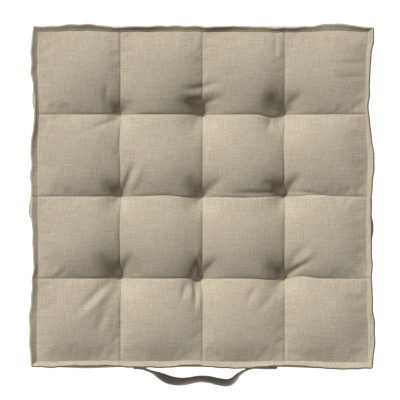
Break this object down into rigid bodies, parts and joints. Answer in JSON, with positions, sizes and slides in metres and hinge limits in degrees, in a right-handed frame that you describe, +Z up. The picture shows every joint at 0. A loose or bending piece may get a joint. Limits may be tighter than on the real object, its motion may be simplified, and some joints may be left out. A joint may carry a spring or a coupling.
{
  "type": "floor cushion",
  "caption": "Square box floor cushion with a pieced, tufted top, turned-out edge flanges, a rear zip and a sewn carrying strap.",
  "frame": {"origin": "centre of the underside, on the surface the cushion lies on", "axes": "+Z up through the tufted top, -Y out of the front wall that has the strap, +Y out of the back wall that has the zip"},
  "size_m": [0.606, 0.6388, 0.1203],
  "materials": {
    "cover_cloth": "matte",
    "strap_cloth": "matte",
    "thread": "matte",
    "tie_twine": "matte",
    "foam": "matte",
    "wadding": "matte",
    "zip_tape": "matte",
    "zip_coil": "satin",
    "zip_metal": "satin"
  },
  "bodies": {
    "cushion": {"top_square_r1_c1": "cover_cloth", "top_square_r1_c2": "cover_cloth", "top_square_r1_c3": "cover_cloth", "top_square_r1_c4": "cover_cloth", "top_square_r2_c1": "cover_cloth", "top_square_r2_c2": "cover_cloth", "top_square_r2_c3": "cover_cloth", "top_square_r2_c4": "cover_cloth", "top_square_r3_c1": "cover_cloth", "top_square_r3_c2": "cover_cloth", "top_square_r3_c3": "cover_cloth", "top_square_r3_c4": "cover_cloth", "top_square_r4_c1": "cover_cloth", "top_square_r4_c2": "cover_cloth", "top_square_r4_c3": "cover_cloth", "top_square_r4_c4": "cover_cloth", "front_boxing": "cover_cloth", "left_boxing": "cover_cloth", "right_boxing": "cover_cloth", "back_boxing_upper": "cover_cloth", "back_boxing_lower": "cover_cloth", "bottom_panel": "cover_cloth", "handle_end_left": "strap_cloth", "handle_end_right": "strap_cloth", "handle_end_stitching_left": "thread", "handle_end_stitching_right": "thread", "top_edge_stitching": "thread", "bottom_edge_stitching": "thread", "tuft_tie_1": "tie_twine", "tuft_tie_2": "tie_twine", "tuft_tie_3": "tie_twine", "tuft_tie_4": "tie_twine", "tuft_tie_5": "tie_twine", "tuft_tie_6": "tie_twine", "tuft_tie_7": "tie_twine", "tuft_tie_8": "tie_twine", "tuft_tie_9": "tie_twine", "foam_core": "foam", "wadding_top": "wadding", "wadding_sides": "wadding", "wadding_bottom": "wadding", "zip_tape_upper": "zip_tape", "zip_tape_lower": "zip_tape", "zip_coil_upper": "zip_coil", "zip_coil_lower": "zip_coil", "zip_end_stops": "zip_metal"},
    "handle": {"handle_strap": "strap_cloth", "handle_stitching": "thread"},
    "zip_slider": {"zip_slider": "zip_metal"},
    "zip_pull": {"zip_pull_tab": "zip_metal"}
  },
  "joints": [
    {"name": "handle_swing", "type": "hinge", "parent": "cushion", "child": "handle", "pos_m": [0, -0.31699, 0.05], "axis": [-1, 0, 0], "range_deg": [-50, 50]},
    {"name": "zip_slide", "type": "slide", "parent": "cushion", "child": "zip_slider", "axis": [1, 0, 0], "range_m": [0, 0.54]},
    {"name": "zip_pull_swing", "type": "hinge", "parent": "zip_slider", "child": "zip_pull", "pos_m": [-0.27, 0.3039, 0.05], "axis": [0, 0, 1], "range_deg": [0, 170]}
  ]
}
